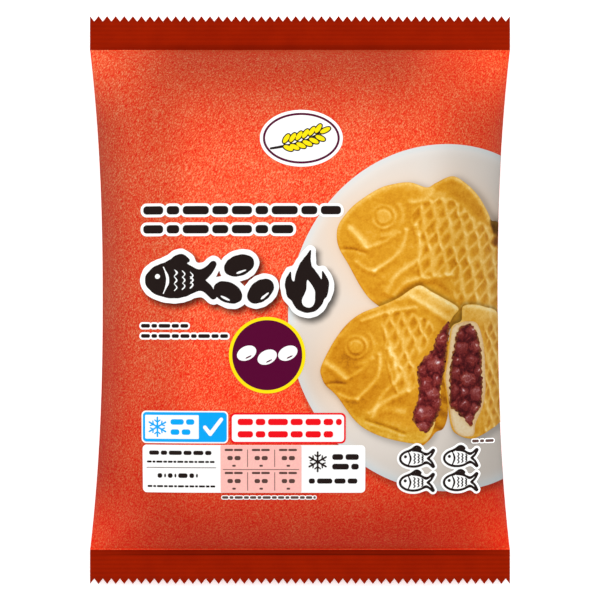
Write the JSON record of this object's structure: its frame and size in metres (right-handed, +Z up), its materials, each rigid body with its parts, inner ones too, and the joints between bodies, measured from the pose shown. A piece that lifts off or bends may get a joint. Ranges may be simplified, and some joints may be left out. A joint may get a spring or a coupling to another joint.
{
  "type": "frozen pastry pillow pack",
  "caption": "Sealed pillow pack of frozen filled pastries: a filled film pouch with ribbed end seals, zigzag cut edges and a folded back seam, lying print side up.",
  "frame": {"origin": "on the surface that the pack lies on, under the middle of the pack", "axes": "+X across the pack, +Y along it towards the top seal, +Z up out of the printed front"},
  "size_m": [0.19, 0.257, 0.0408],
  "materials": {
    "printed_film": "satin printed film, vermilion with a fibre pattern",
    "seal_film": "satin printed film, brick red, pressed into fine ribs",
    "white_ink": "white print under the film's satin face",
    "dark_ink": "black print under the film's satin face",
    "spot_ink": "flat coloured print in blue, red, pink, yellow and maroon",
    "pastry_ink": "shaded print of baked golden pastry on a pale plate"
  },
  "bodies": {
    "root": {"pouch": "printed_film"}
  },
  "joints": []
}
